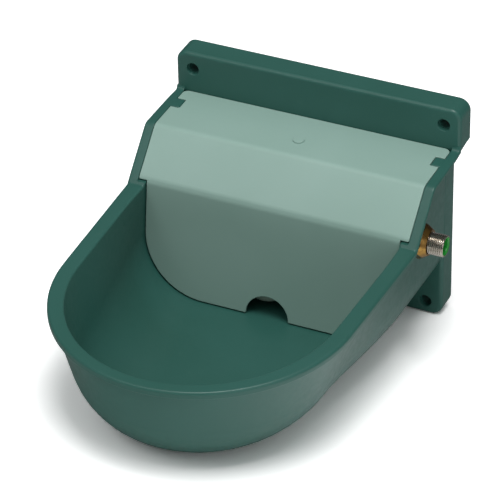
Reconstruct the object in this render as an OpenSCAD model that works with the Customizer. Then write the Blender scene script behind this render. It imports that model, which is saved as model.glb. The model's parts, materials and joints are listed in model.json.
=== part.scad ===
// Wall-mounted float bowl for watering horses.
// X runs across the bowl, +Y into the wall, +Z up. The origin lies on the wall,
// midway between the two upper screw holes.

/* [Wall plate] */
// Width of the upper flange of the wall plate
ear_w = 288; // [276:1:310]
// Height of the upper flange
ear_h = 41; // [36:1:50]
// Width of the plate below the flange
plate_w = 258; // [250:1:266]
// Height of the whole plate
plate_h = 232; // [226:1:260]
// Depth of the plate from the wall to its front face
plate_t = 24.5; // [18:0.5:32]
// Radius of the plate's corners
plate_corner_r = 11; // [6:1:16]
// Thickness of the plate's skin, which is hollow behind
skin_t = 4.5; // [3.5:0.5:6]
// Thickness of the ribs behind the plate
rib_t = 2.5; // [2:0.5:4]
// Largest space between two ribs
rib_pitch = 38; // [30:1:40]
// Diameter of the wall screw holes
hole_d = 10.5; // [8:0.5:12]
// Diameter of the boss round each screw hole
boss_d = 21; // [18:1:24]
// Drop of the upper screw holes below the top of the plate
hole_drop = 17.5; // [14:0.5:22]
// Distance between the two upper screw holes
upper_span = 254; // [240:1:260]
// Distance between the two lower screw holes
lower_span = 224; // [200:1:230]
// Height of the upper screw holes above the lower ones
hole_rise = 201; // [190:1:208]

/* [Bowl] */
// Distance from the wall to the front of the rim
reach = 416; // [390:2:460]
// Drop of the rim below the upper screw holes
rim_drop = 69; // [64:1:76]
// Outer radius of the rim's front arc
rim_r = 139.5; // [134:0.5:142]
// Width over the rim where the cheeks rise from it
kink_w = 292; // [288:1:300]
// Width of the rim round the front arc
lip_w = 14.5; // [12:0.5:18]
// Height of the rim's outer skirt
lip_h = 7; // [5:0.5:12]
// Radius of the rim's outer edge
lip_r = 3; // [1:0.5:4]
// Overhang of the rim past the wall below it
lip_over = 8.5; // [4:0.5:10]
// Thickness of the bowl's floor and side walls
bowl_wall = 4.8; // [3.5:0.1:6]
// Depth from the rim to the floor at the front
front_depth = 103; // [90:1:110]
// Depth from the rim to the floor of the float chamber
rear_depth = 107; // [100:1:120]
// Slope of the front wall outside, in degrees
outer_draft = 14.5; // [8:0.5:18]
// Slope of the front wall inside, in degrees
inner_draft = 11.5; // [6:0.5:15]
// Radius between wall and floor at the front, outside
front_fillet = 63; // [45:1:75]
// Radius between wall and floor at the widest section, outside
rear_fillet = 67; // [50:1:80]
// Radius between wall and floor at the wall plate, outside
back_fillet = 46; // [30:1:67]
// Width of the float chamber at its front, outside
chamber_w = 270; // [262:1:276]
// Distance from the wall to the widest section of the float chamber
chamber_y = 155; // [145:1:180]

/* [Cheeks] */
// Distance from the wall to the upper bend of the cheeks
cheek_y = 90.7; // [80:1:100]
// Distance from the wall to the kink where the cheeks meet the rim
kink_y = 135; // [130:1:142]
// Depth of the band along the top of the cheeks
band_t = 8; // [6:0.5:12]
// Length of the lug that locates the cover
lug_l = 15; // [10:1:20]
// Reach of the lug over the cover's ledge
lug_w = 9; // [7:0.5:11]
// Distance from the plate's face to the lug
lug_gap = 17; // [12:1:24]

/* [Cover] */
// Width of the cover
lid_w = 270.8; // [266:0.2:276]
// Thickness of the cover
lid_t = 3; // [2:0.2:4]
// Gap round the cover's edges
lid_gap = 0.4; // [0.2:0.1:1]
// Radius of the cover's bends
bend_r = 9; // [4:1:14]
// Forward tilt of the baffle, in degrees
baffle_tilt = 6; // [0:1:10]
// Gap between the baffle and the bowl
baffle_gap = 1.5; // [1:0.1:3]
// Radius of the water passage in the baffle
cutout_r = 21.6; // [14:0.2:28]
// Diameter of the raised pip on the cover
pip_d = 11; // [6:0.5:16]

/* [Inlet] */
// Distance from the wall to the inlet's axis
inlet_y = 98.5; // [85:0.5:105]
// Drop of the inlet's axis below the upper screw holes
inlet_drop = 79; // [74:0.5:90]
// Outer diameter of the inlet's G 1/2 thread
thread_d = 20.95; // [20.95:0.05:21]
// Length of thread that stands out past the lock nut
thread_out = 18.7; // [12:0.1:30]
// Width across the flats of the lock nut
nut_af = 27; // [25:1:30]
// Thickness of the lock nut
nut_t = 8; // [5:0.5:12]
// Thickness of the washer under the lock nut
washer_t = 1.2; // [0.8:0.1:2]
// Diameter of that washer
washer_d = 30; // [28:1:34]
// Thickness of the rubber gasket inside
gasket_t = 2; // [1:0.5:3]
// Thickness of the valve's inner flange
flange_t = 5; // [4:0.5:8]
// Bore of the inlet
inlet_bore_d = 17.2; // [14:0.2:17.4]
// Bore of the strainer in the inlet
strainer_bore_d = 11.2; // [8:0.2:13]
// Length of the strainer
strainer_l = 17; // [12:1:20]

/* [Float valve] */
// Diameter of the valve's barrel
barrel_d = 17; // [16:0.2:19]
// Length of the barrel inside the flange
barrel_l = 23; // [22:1:30]
// Diameter of the piston
piston_d = 12; // [11:0.1:13]
// Gap round the piston
piston_gap = 0.05; // [0.02:0.01:0.1]
// Length of the piston
piston_l = 27; // [26:1:29]
// Length of the nozzle
nozzle_l = 4; // [3:0.5:6]
// Diameter of the nozzle's crater
crater_d = 7; // [6:0.5:9]
// Bore of the nozzle
nozzle_bore_d = 4; // [2:0.5:5]
// Bore of the channel behind the nozzle
channel_d = 7; // [5:0.5:8]
// Drop of the lever's pivot below the piston's axis
pivot_drop = 11; // [10.8:0.2:12]
// Swing of the float between empty and full, in degrees
swing = 24; // [16:1:24]
// Slope of the arm below level when the bowl is full, in degrees
full_slope = 3; // [0:1:5]
// Diameter of the pivot pin
pin_d = 4; // [3:0.5:5]
// Length from the pivot to the float's centre
arm_l = 115; // [110:1:125]
// Diameter of the float's rod
rod_d = 6; // [5:0.5:7]
// Diameter of the float
float_d = 60; // [50:1:62]
// Width of the float
float_w = 56; // [40:1:58]

/* [Hidden] */
$fn = 64;

// Skin colours
green = "#2b5a50";
cover_green = "#9fb5aa";

// Wall plate
top_z = hole_drop;
ear_z = hole_drop - ear_h;
foot_z = top_z - plate_h;
face_y = -plate_t;

// Bowl
rim_z = -rim_drop;
arc_y = rim_r - reach;
front_floor_z = rim_z - front_depth;
rear_floor_z = rim_z - rear_depth;
under_lip_z = rim_z - lip_h;
film = 0.4;
back_half = plate_w / 2 - 0.05;
front_half = chamber_w / 2;
sink_t = 0.8;

// Cheeks and cover
seam = 0.1;
cheek_z = ear_z - 0.6;
cheek_slope = (cheek_z - rim_z) / (kink_y - cheek_y);
lid_bend_y = kink_y - 3.5;
lid_bend_z = cheek_z - (lid_bend_y - cheek_y) * cheek_slope;
ledge_w = lid_w + 2 * lid_gap;
seat_gap = 0.2;
over_lid = 4;
baffle_half = wall_half(-lid_bend_y) - bowl_wall - baffle_gap;
baffle_z = rear_floor_z + baffle_gap;

// Inlet and valve, measured along X
pad_t = 1;
out_x = wall_half(-inlet_y) + pad_t;
in_x = wall_half(-inlet_y) - bowl_wall - pad_t;
nut_x = out_x + washer_t;
thread_x = nut_x + nut_t + thread_out;
flange_x = in_x - gasket_t;
shoulder_x = flange_x - flange_t;
barrel_x = shoulder_x - barrel_l;
thread_depth = 1.16;
shank_d = thread_d - thread_depth;
inlet_hole_d = thread_d + 0.6;
funnel_t = 2;
past = 20;
strainer_x = thread_x - strainer_l;
screen_t = 1;
chamber_d = piston_d + 2 * piston_gap;
o_ring_d = 1.8;
nozzle_x = shoulder_x - 2;
nose_x = nozzle_x - o_ring_d - nozzle_l;
pivot_x = barrel_x - 7;
pivot_z = -pivot_drop;
pin_gap = 0.05;
half_swing = swing / 2;
travel = 2 * pivot_drop * sin(half_swing);
seal_d = piston_d - 4;
seal_out = 1;
seal_in = 2.5;
seal_x = nose_x - travel - 0.3;
piston_x1 = seal_x - seal_out;
piston_x0 = piston_x1 - piston_l;
head_d = 6.5;
head_x = pivot_x - pivot_drop * sin(half_swing);
slot_w = head_d + 0.5;
tongue_w = 6;
fork_gap = piston_d + 0.8;
ear_t = 3;
stop_d = 3;
rest_slope = full_slope + swing;
hub_d = 8;
stem_d = 9;
stem_l = 34;
rod_in = 10;
rod_grip = 8;
float_r = float_d / 2;
boss_l = 5;
boss_out_d = 14;
rod_nut_af = 10;
rod_nut_t = 5;

// Half width of the float chamber's outer wall at a distance y from the wall
function wall_half(y) = back_half
    + (front_half - back_half) * (-plate_t - y) / (chamber_y - plate_t);

// Points of an arc
function arc(cx, cy, r, a0, a1, n = 8) =
    [for (i = [0:n]) let(a = a0 + (a1 - a0) * i / n) [cx + r * cos(a), cy + r * sin(a)]];

// Upright sides, round corners and a flat floor
function trough(half, z_top, z_floor, r) = concat(
    [[half, z_top]],
    arc(half - r, z_floor + r, r, 0, -90),
    arc(r - half, z_floor + r, r, -90, -180),
    [[-half, z_top]]);

// Half section of the bowl's front, with a sloping wall
function bowl_section(r_top, z_top, draft, z_floor, r) =
    let(reach_c = r_top * cos(draft) - z_top * sin(draft) - r)
    let(rc = (reach_c + (z_floor + r) * sin(draft)) / cos(draft))
    concat([[0, z_top], [r_top, z_top]],
        arc(rc, z_floor + r, r, -draft, -90),
        [[0, z_floor]]);

// Direction from one point to the next
function heading(p, q) = (q - p) / norm(q - p);

// A path whose corners are rounded
function rounded(p, r, n = 6) = [for (i = [0:len(p) - 1])
    each (i == 0 || i == len(p) - 1) ? [p[i]] : bend(p[i - 1], p[i], p[i + 1], r, n)];
function bend(a, b, c, r, n) =
    let(u = heading(b, a), v = heading(b, c))
    let(half = acos(u * v) / 2, m = (u + v) / norm(u + v))
    let(centre = b + m * r / sin(half), start = b + u * r / tan(half) - centre)
    let(turn = (180 - 2 * half) * sign(u[1] * v[0] - u[0] * v[1]))
    [for (i = [0:n]) let(t = turn * i / n)
        centre + [start[0] * cos(t) - start[1] * sin(t), start[0] * sin(t) + start[1] * cos(t)]];

// The path moved sideways by d
function moved(p, d) = [for (i = [0:len(p) - 1])
    let(u = heading(p[max(i - 1, 0)], p[max(i, 1)]))
    let(v = heading(p[min(i, len(p) - 2)], p[min(i + 1, len(p) - 1)]))
    let(m = (u + v) / norm(u + v))
    p[i] + d * [-m[1], m[0]] / (m * u)];

// A strip of thickness d along a path
function strip(p, d) = concat(p, reversed(moved(p, d)));
function reversed(p) = [for (i = [len(p) - 1:-1:0]) p[i]];

// Top line of the cheeks as [y, z], from the plate down to the rim
cheek_line = [
    [face_y / 2, cheek_z], [-cheek_y, cheek_z], [-kink_y, rim_z], [-kink_y - 0.5, rim_z]
];

// Top of the cover as [y, z]: top panel, sloping panel and baffle
lid_drop = lid_bend_z - baffle_z + bend_r;
lid_line = rounded([
    [face_y - film - 0.1, cheek_z], [-cheek_y, cheek_z], [-lid_bend_y, lid_bend_z],
    [-lid_bend_y - lid_drop * tan(baffle_tilt), lid_bend_z - lid_drop]
], bend_r);

module across(w) {
    rotate([90, 0, 90])
        linear_extrude(w, center = true)
            children();
}

module along_wall(y0, depth) {
    translate([0, y0, 0])
        rotate([90, 0, 0])
            linear_extrude(depth)
                children();
}

module both_sides() {
    children();
    mirror([1, 0, 0])
        children();
}

module rounded_rect(x, z0, z1, r) {
    square_x = 2 * (x - r);
    translate([-x, z0 + r])
        square([2 * x, z1 - z0 - 2 * r]);
    translate([r - x, z0])
        square([square_x, z1 - z0]);
    for (cx = [r - x, x - r], cz = [z0 + r, z1 - r])
        translate([cx, cz])
            circle(r);
}

// Outline of the plate, drawn in by inset
module plate_outline(inset) {
    r = plate_corner_r - inset;
    w = ear_w / 2 - inset;
    rounded_rect(w, ear_z + inset, top_z - inset, r);
    translate([-w, ear_z + inset])
        square([2 * w, ear_h / 2]);
    rounded_rect(plate_w / 2 - inset, foot_z + inset, top_z - inset, r);
}

module at_screws() {
    for (s = [-1, 1]) {
        translate([s * upper_span / 2, 0, 0])
            children();
        translate([s * lower_span / 2, 0, -hole_rise])
            children();
    }
}

module wall_bore(d, y0, y1) {
    translate([0, y1, 0])
        rotate([90, 0, 0])
            cylinder(h = y1 - y0, d = d);
}

// The eased edge of a screw hole
module screw_sink() {
    translate([0, face_y + sink_t, 0])
        rotate([90, 0, 0])
            cylinder(h = 2 * sink_t, d1 = hole_d, d2 = hole_d + 4 * sink_t);
}

module plate_ribs() {
    y0 = face_y + skin_t / 2;
    x0 = skin_t / 2 - plate_w / 2;
    columns = 2 * ceil(plate_w / rib_pitch / 2);
    rows = ceil((ear_z - foot_z) / rib_pitch);
    for (i = [1:columns - 1])
        translate([i * plate_w / columns - plate_w / 2 - rib_t / 2, y0, foot_z + skin_t / 2])
            cube([rib_t, -y0, plate_h - skin_t]);
    for (i = [1:rows])
        translate([x0, y0, foot_z + i * (ear_z - foot_z) / rows])
            cube([-2 * x0, -y0, rib_t]);
}

module wall_plate() {
    difference() {
        along_wall(0, plate_t)
            plate_outline(0);
        along_wall(1, plate_t - skin_t + 1)
            plate_outline(skin_t);
    }
    plate_ribs();
    at_screws()
        wall_bore(boss_d, face_y + skin_t / 2, 0);
}

// The bowl's outer or inner form: the front is turned, the rear is a trough
module bowl_form(r_top, z_top, draft, inset, y_back) {
    hull() {
        translate([0, arc_y, 0])
            rotate([0, 0, 180])
                rotate_extrude(angle = 180)
                    polygon(bowl_section(r_top, z_top, draft,
                        front_floor_z - bowl_wall + inset, front_fillet - inset));
        along_wall(1 - chamber_y, 1)
            polygon(trough(front_half - inset, z_top,
                rear_floor_z - bowl_wall + inset, rear_fillet - inset));
        along_wall(y_back, 1)
            polygon(trough(back_half - inset, z_top,
                rear_floor_z - bowl_wall + inset, back_fillet - inset));
    }
}

module lip_section() {
    polygon(concat(
        [[rim_r - lip_w - 6, -lip_h], [rim_r, -lip_h]],
        arc(rim_r - lip_r, -lip_r, lip_r, 0, 90, 5),
        [[rim_r - lip_w - 6, 0]]));
}

// The rim round the front and along both sides up to the cheeks
module lip() {
    run_y = -kink_y - arc_y;
    run = norm([kink_w / 2, run_y]);
    yaw = acos(rim_r / run) - atan2(run_y, kink_w / 2);
    side_l = sqrt(run * run - rim_r * rim_r) + 4;
    translate([0, arc_y, rim_z]) {
        rotate([0, 0, 180 + yaw])
            rotate_extrude(angle = 180 - 2 * yaw)
                lip_section();
        both_sides()
            rotate([0, 0, -yaw])
                translate([0, side_l, 0])
                    rotate([90, 0, 0])
                        linear_extrude(side_l)
                            lip_section();
    }
}

// Plan of the float chamber between its side walls
module chamber_plan(inset) {
    back = back_half - inset;
    front = front_half - inset;
    polygon([[-back, face_y], [-front, -chamber_y], [front, -chamber_y], [back, face_y]]);
}

module cheek_walls() {
    intersection() {
        across(2 * kink_w)
            polygon([[face_y + 2, cheek_z], [-cheek_y, cheek_z], [-kink_y, rim_z],
                [-kink_y, rim_z - 9], [face_y + 2, rim_z - 9]]);
        translate([0, 0, rim_z - 10])
            linear_extrude(rim_drop)
                polygon([[-back_half + seam, face_y + 3], [-front_half + seam, -chamber_y],
                    [front_half - seam, -chamber_y], [back_half - seam, face_y + 3]]);
    }
}

module cheek_bands() {
    intersection() {
        across(2 * kink_w)
            polygon(strip(cheek_line, band_t));
        translate([0, 0, rim_z - past])
            linear_extrude(rim_drop)
                polygon([[-ear_w / 2, 0], [-kink_w / 2, -kink_y], [-kink_w / 2, -kink_y - 5],
                    [kink_w / 2, -kink_y - 5], [kink_w / 2, -kink_y], [ear_w / 2, 0]]);
    }
}

// The lowered ledge on which the cover lies
module ledge_cut() {
    across(ledge_w)
        intersection() {
            polygon(concat(moved(lid_line, -over_lid),
                reversed(moved(lid_line, lid_t + seat_gap))));
            translate([-reach, lid_bend_z - lid_gap])
                square([reach + face_y - film, rim_drop]);
        }
}

module lug(grow) {
    y1 = face_y - lug_gap + grow;
    x0 = ledge_w / 2 - lug_w - grow;
    translate([x0, y1 - lug_l - 2 * grow, cheek_z - lid_t - 1 - grow])
        cube([lug_w + 2 + grow, lug_l + 2 * grow, lid_t + 1 + 8 * grow]);
}

module inlet_pad(x0, x1, d) {
    translate([x0, -inlet_y, -inlet_drop])
        rotate([0, 90, 0])
            cylinder(h = x1 - x0, d = d);
}

module bowl_body() {
    inner_top = rim_z + 2;
    color(green)
        difference() {
            union() {
                difference() {
                    union() {
                        wall_plate();
                        bowl_form(rim_r - lip_over, under_lip_z + 3, outer_draft, 0, face_y + 2.5);
                        cheek_walls();
                        cheek_bands();
                        lip();
                        inlet_pad(in_x + 2, out_x, washer_d + 6);
                    }
                    bowl_form(rim_r - lip_w, inner_top, inner_draft, bowl_wall, face_y - film + 1);
                    translate([0, 0, inner_top - 1])
                        linear_extrude(rim_drop + top_z)
                            intersection() {
                                chamber_plan(bowl_wall + seam);
                                translate([-kink_w, -reach])
                                    square([2 * kink_w, reach + face_y - film]);
                            }
                    ledge_cut();
                }
                inlet_pad(in_x, in_x + 3, washer_d + 6);
                both_sides()
                    lug(0);
            }
            at_screws() {
                wall_bore(hole_d, face_y - 1, 1);
                screw_sink();
            }
            inlet_pad(in_x - 5, out_x + 5, inlet_hole_d);
        }
}

// Front outline of the cover
module cover_front() {
    difference() {
        union() {
            translate([-lid_w / 2, lid_bend_z])
                square([lid_w, cheek_z - lid_bend_z + 5]);
            polygon(trough(baffle_half, lid_bend_z + 5, baffle_z,
                rear_fillet - bowl_wall - baffle_gap));
        }
        translate([0, baffle_z])
            circle(cutout_r);
    }
}

module cover() {
    color(cover_green)
        difference() {
            union() {
                intersection() {
                    across(lid_w + 2)
                        polygon(strip(lid_line, lid_t));
                    along_wall(0, reach)
                        cover_front();
                }
                translate([0, (face_y - cheek_y) / 2 - 8, cheek_z - 1])
                    cylinder(h = 2, d = pip_d);
            }
            both_sides()
                lug(lid_gap);
        }
}

// Places a piece on the inlet's axis, with its own axis along +X from x
module on_axis(x) {
    translate([x, -inlet_y, -inlet_drop])
        rotate([0, 90, 0])
            children();
}

// A rod across the valve, along Y, at x and z from the piston's axis
module cross_rod(x, z, d, l) {
    translate([x, l / 2 - inlet_y, z - inlet_drop])
        rotate([90, 0, 0])
            cylinder(h = l, d = d);
}

// Centre of the bar that stops the lever when the bowl is empty
stop_x = pivot_x - 12 * cos(rest_slope) + (stem_d / 2 + 0.3 + stop_d / 2) * sin(rest_slope);
stop_z = pivot_z - 12 * sin(rest_slope) - (stem_d / 2 + 0.3 + stop_d / 2) * cos(rest_slope);

module fork_ear() {
    polygon([
        [barrel_x + 4, 6], [barrel_x - 2, 6], [pivot_x - 5, pivot_z + 3],
        [stop_x - 3, stop_z + 2], [stop_x - 1, stop_z - 3], [stop_x + 3, stop_z - 3],
        [pivot_x + 5, pivot_z - 5], [barrel_x + 4, -6]]);
}

module valve_body() {
    hex_d = (washer_d - 1) / cos(30);
    color("#b9b4a6")
        difference() {
            union() {
                on_axis(flange_x)
                    cylinder(h = nut_x + nut_t - flange_x, d = shank_d);
                on_axis(nut_x + nut_t)
                    cylinder(h = thread_x - nut_x - nut_t, d = thread_d);
                on_axis(shoulder_x)
                    cylinder(h = flange_t, d = hex_d, $fn = 6);
                on_axis(barrel_x)
                    cylinder(h = barrel_l + 1, d = barrel_d);
                for (s = [-1, 1])
                    translate([0, s * (fork_gap + ear_t) / 2 + ear_t / 2 - inlet_y, -inlet_drop])
                        rotate([90, 0, 0])
                            linear_extrude(ear_t)
                                fork_ear();
                cross_rod(stop_x, stop_z, stop_d, fork_gap + ear_t);
            }
            on_axis(strainer_x - screen_t)
                cylinder(h = strainer_l + 2, d = inlet_bore_d);
            on_axis(nozzle_x - 1)
                cylinder(h = strainer_x - nozzle_x, d = channel_d);
            on_axis(barrel_x - past)
                cylinder(h = nozzle_x - barrel_x + past, d = chamber_d);
            translate([seal_x + 0.5, -inlet_y - barrel_d, -inlet_drop - 3])
                cube([travel - 0.5, 2 * barrel_d, 6]);
            translate([seal_x + 0.5, -inlet_y - 4, -inlet_drop - barrel_d])
                cube([travel - 0.5, 8, barrel_d]);
            cross_rod(pivot_x, pivot_z, pin_d, 4 * barrel_d);
        }
}

module lock_nut() {
    color("#b08d3c")
        on_axis(nut_x)
            difference() {
                intersection() {
                    cylinder(h = nut_t, d = nut_af / cos(30), $fn = 6);
                    cylinder(h = nut_t, r1 = nut_af / 2 + nut_t / tan(30), r2 = nut_af / 2);
                }
                translate([0, 0, -1])
                    cylinder(h = nut_t + 2, d = shank_d + 0.2);
            }
}

module ring(x, h, d, bore) {
    on_axis(x)
        difference() {
            cylinder(h = h, d = d);
            translate([0, 0, -1])
                cylinder(h = h + 2, d = bore);
        }
}

module lock_washer() {
    color("#c8b070")
        ring(out_x, washer_t, washer_d, thread_d + 0.4);
}

module inlet_gasket() {
    color("#222222")
        ring(flange_x, gasket_t, washer_d, thread_d + 0.4);
}

module inlet_strainer() {
    color("#3fae4a")
        difference() {
            ring(strainer_x, strainer_l, inlet_bore_d - 0.1, strainer_bore_d);
            on_axis(thread_x - funnel_t)
                cylinder(h = 2 * funnel_t, d1 = strainer_bore_d, d2 = strainer_bore_d + 2 * funnel_t);
        }
}

module strainer_screen() {
    color("#c0c0c0")
        on_axis(strainer_x - screen_t)
            cylinder(h = screen_t, d = inlet_bore_d - 0.1);
}

module valve_nozzle() {
    color("#f0f0ea")
        on_axis(nose_x)
            difference() {
                union() {
                    translate([0, 0, 1.5])
                        cylinder(h = nozzle_l - 1.5, d = chamber_d - 0.1);
                    cylinder(h = nozzle_l, d = crater_d);
                }
                translate([0, 0, -1])
                    cylinder(h = nozzle_l + 2, d = nozzle_bore_d);
            }
}

module nozzle_o_ring() {
    color("#1c1c1c")
        on_axis(nozzle_x - o_ring_d / 2)
            rotate_extrude()
                translate([(chamber_d - o_ring_d) / 2 - 0.2, 0])
                    circle(d = o_ring_d, $fn = 24);
}

module valve_piston() {
    color("#c9a650")
        difference() {
            on_axis(piston_x0)
                cylinder(h = piston_l, d = piston_d);
            on_axis(piston_x1 - seal_in)
                cylinder(h = seal_in + 1, d = seal_d);
            translate([head_x - slot_w / 2, -inlet_y - tongue_w / 2 - 0.4, -inlet_drop - piston_d])
                cube([slot_w, tongue_w + 0.8, piston_d + head_d / 2 + 0.8]);
        }
}

module piston_seal() {
    color("#1c1c1c")
        on_axis(piston_x1 - seal_in)
            cylinder(h = seal_in + seal_out, d = seal_d);
}

// Places a piece on the arm, with its own axis running out from the pivot
module on_arm(l) {
    translate([pivot_x, -inlet_y, pivot_z - inlet_drop])
        rotate([0, -90 - rest_slope, 0])
            translate([0, 0, l])
                children();
}

module float_lever() {
    color("#c9a650")
        difference() {
            union() {
                cross_rod(pivot_x, pivot_z, hub_d, fork_gap - 0.6);
                cross_rod(head_x, -pivot_drop * (1 - cos(half_swing)), head_d, tongue_w);
                translate([pivot_x, -inlet_y, pivot_z - inlet_drop])
                    rotate([0, -half_swing, 0])
                        translate([-1.5, -tongue_w / 2, 0])
                            cube([3, tongue_w, pivot_drop]);
                on_arm(0)
                    cylinder(h = stem_l, d = stem_d);
            }
            cross_rod(pivot_x, pivot_z, pin_d + 2 * pin_gap, 2 * fork_gap);
            on_arm(stem_l - rod_in)
                cylinder(h = rod_in + 1, d = rod_d + 0.1);
        }
}

module pivot_pin() {
    l = fork_gap + 2 * ear_t + 5;
    color("#b8b8b8")
        difference() {
            union() {
                cross_rod(pivot_x, pivot_z, pin_d, l);
                translate([0, l / 2, 0])
                    cross_rod(pivot_x, pivot_z, pin_d + 2, 1.2);
            }
            translate([pivot_x, 1.6 - l / 2 - inlet_y, pivot_z - inlet_drop - pin_d])
                cylinder(h = 2 * pin_d, d = 1.2, $fn = 24);
        }
}

module pin_clip() {
    l = fork_gap + 2 * ear_t + 5;
    color("#9a9a9a")
        translate([pivot_x, 1.6 - l / 2 - inlet_y, pivot_z - inlet_drop - 5])
            union() {
                cylinder(h = 8, d = 1.1, $fn = 24);
                translate([0, 0, 9])
                    rotate([90, 0, 0])
                        rotate_extrude($fn = 24)
                            translate([1.4, 0])
                                circle(d = 1.1, $fn = 16);
            }
}

module float_rod() {
    color("#c4c6c8")
        on_arm(stem_l - rod_in + 0.2)
            cylinder(h = arm_l - float_r - stem_l + rod_in + rod_grip, d = rod_d);
}

module rod_nut(l) {
    on_arm(l)
        difference() {
            cylinder(h = rod_nut_t, d = rod_nut_af / cos(30), $fn = 6);
            translate([0, 0, -1])
                cylinder(h = rod_nut_t + 2, d = rod_d + 0.1);
        }
}

module lever_lock_nut() {
    color("#c4c6c8")
        rod_nut(stem_l);
}

module float_lock_nut() {
    color("#c4c6c8")
        rod_nut(arm_l - float_r - boss_l - rod_nut_t);
}

// Places a turned piece across the float, along Y, centred on the rod
module on_float(y) {
    on_arm(arm_l)
        translate([0, y, 0])
            rotate([-90, 0, 0])
                children();
}

cap_y = float_w / 2 - 8;
shell_t = 2;
round_r = 7;

module float_body() {
    r = float_r;
    h = float_w / 2 + cap_y;
    color("#e4e2d8")
        difference() {
            union() {
                on_float(-float_w / 2)
                    rotate_extrude()
                        polygon(concat([[0, 0]],
                            arc(r - round_r, round_r, round_r, -90, 0, 5),
                            [[r, h], [0, h]]));
                on_arm(arm_l - r - boss_l)
                    cylinder(h = boss_l + 4, d = boss_out_d);
            }
            on_float(shell_t - float_w / 2)
                rotate_extrude()
                    polygon(concat([[0, 0]],
                        arc(r - round_r, round_r - shell_t, round_r - shell_t, -90, 0, 5),
                        [[r - shell_t - 0.01, round_r], [r - shell_t - 0.01, h], [0, h]]));
            on_arm(arm_l - r - boss_l - 1)
                cylinder(h = boss_l + rod_grip + 4, d = rod_d + 0.1);
        }
}

module float_cap() {
    r = float_r;
    h = float_w / 2 - cap_y;
    color("#e4e2d8")
        on_float(cap_y)
            difference() {
                rotate_extrude()
                    polygon(concat([[0, 0], [r, 0]],
                        arc(r - round_r, h - round_r, round_r, 0, 90, 5),
                        [[0, h]]));
                translate([0, 0, -1])
                    cylinder(h = h - shell_t + 1, r = r - round_r);
            }
}

bowl_body();
cover();
valve_body();
lock_nut();
lock_washer();
inlet_gasket();
inlet_strainer();
strainer_screen();
valve_nozzle();
nozzle_o_ring();
valve_piston();
piston_seal();
float_lever();
pivot_pin();
pin_clip();
float_rod();
lever_lock_nut();
float_lock_nut();
float_body();
float_cap();
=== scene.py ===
import json
import math

import bmesh
import bpy
from mathutils import Matrix, Vector


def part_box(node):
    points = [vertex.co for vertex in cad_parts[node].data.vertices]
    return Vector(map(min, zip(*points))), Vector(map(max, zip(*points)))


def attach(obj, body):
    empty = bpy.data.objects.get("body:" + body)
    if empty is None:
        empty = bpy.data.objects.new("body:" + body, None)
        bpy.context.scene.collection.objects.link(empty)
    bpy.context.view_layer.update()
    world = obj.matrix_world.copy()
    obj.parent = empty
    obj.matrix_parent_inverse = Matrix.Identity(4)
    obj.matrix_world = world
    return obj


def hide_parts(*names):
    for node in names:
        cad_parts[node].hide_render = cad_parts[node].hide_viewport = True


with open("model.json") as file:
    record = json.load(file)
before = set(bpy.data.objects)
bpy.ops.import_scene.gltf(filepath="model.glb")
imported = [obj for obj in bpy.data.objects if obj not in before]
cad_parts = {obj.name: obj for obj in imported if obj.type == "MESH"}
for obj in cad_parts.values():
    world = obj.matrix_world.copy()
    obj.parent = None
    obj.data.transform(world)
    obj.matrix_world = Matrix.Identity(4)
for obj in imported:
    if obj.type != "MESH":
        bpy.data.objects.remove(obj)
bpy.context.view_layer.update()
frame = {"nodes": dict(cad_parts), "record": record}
mm = 0.001
print("frame loaded:", len(frame["nodes"]), "nodes")


# Selecting and finishing

def makeActive(piece):
    bpy.ops.object.select_all(action="DESELECT")
    piece.select_set(True)
    bpy.context.view_layer.objects.active = piece


def inEditMode(piece):
    makeActive(piece)
    bpy.ops.object.mode_set(mode="EDIT")
    return bmesh.from_edit_mesh(piece.data)


def leaveEditMode():
    bpy.ops.object.mode_set(mode="OBJECT")


def applyModifier(piece, kind, **settings):
    makeActive(piece)
    modifier = piece.modifiers.new(kind.title(), kind)
    for name, value in settings.items():
        setattr(modifier, name, value)
    bpy.ops.object.modifier_apply(modifier=modifier.name)


def settle(piece):  # the piece's place goes into its mesh
    makeActive(piece)
    bpy.ops.object.transform_apply(location=True, rotation=True, scale=True)


def smoothBelow(piece, degrees):
    makeActive(piece)
    bpy.ops.object.shade_smooth_by_angle(angle=math.radians(degrees))


def closeNormals(piece):
    inEditMode(piece)
    bpy.ops.mesh.select_all(action="SELECT")
    bpy.ops.mesh.remove_doubles(threshold=0.01 * mm)
    bpy.ops.mesh.normals_make_consistent(inside=False)
    leaveEditMode()


def copyOfNode(node, name, flatBelow=0):  # a merged copy of a CAD node, free to be shaped
    piece = bpy.data.objects.new(name, frame["nodes"][node].data.copy())
    bpy.context.scene.collection.objects.link(piece)
    inEditMode(piece)
    bpy.ops.mesh.select_all(action="SELECT")
    bpy.ops.mesh.customdata_custom_splitnormals_clear()
    bpy.ops.mesh.remove_doubles(threshold=0.005 * mm)
    if flatBelow:  # the flat faces become whole again
        bpy.ops.mesh.dissolve_limited(angle_limit=math.radians(flatBelow))
    leaveEditMode()
    return piece


def cutFlat(piece, place, normal, **side):  # a plane's cut: one side goes and the cut is closed
    inEditMode(piece)
    bpy.ops.mesh.select_all(action="SELECT")
    bpy.ops.mesh.bisect(plane_co=Vector(place) * mm, plane_no=normal, **side)
    bpy.ops.mesh.fill()
    leaveEditMode()


def roundEdges(piece, width, sharper, where, segments):
    mesh = inEditMode(piece)
    for face in mesh.faces:
        face.select = False
    for edge in mesh.edges:
        middle = (edge.verts[0].co + edge.verts[1].co) / 2
        sharp = edge.is_manifold and edge.calc_face_angle(0) > math.radians(sharper)
        edge.select = sharp and where(middle)
    bmesh.update_edit_mesh(piece.data)
    bpy.ops.mesh.bevel(offset=width, segments=segments, affect="EDGES", clamp_overlap=False)
    leaveEditMode()


def averageNormals(piece, degrees):  # smooth below an angle, led by the large faces
    smoothBelow(piece, degrees)
    applyModifier(piece, "WEIGHTED_NORMAL", keep_sharp=True)


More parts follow.
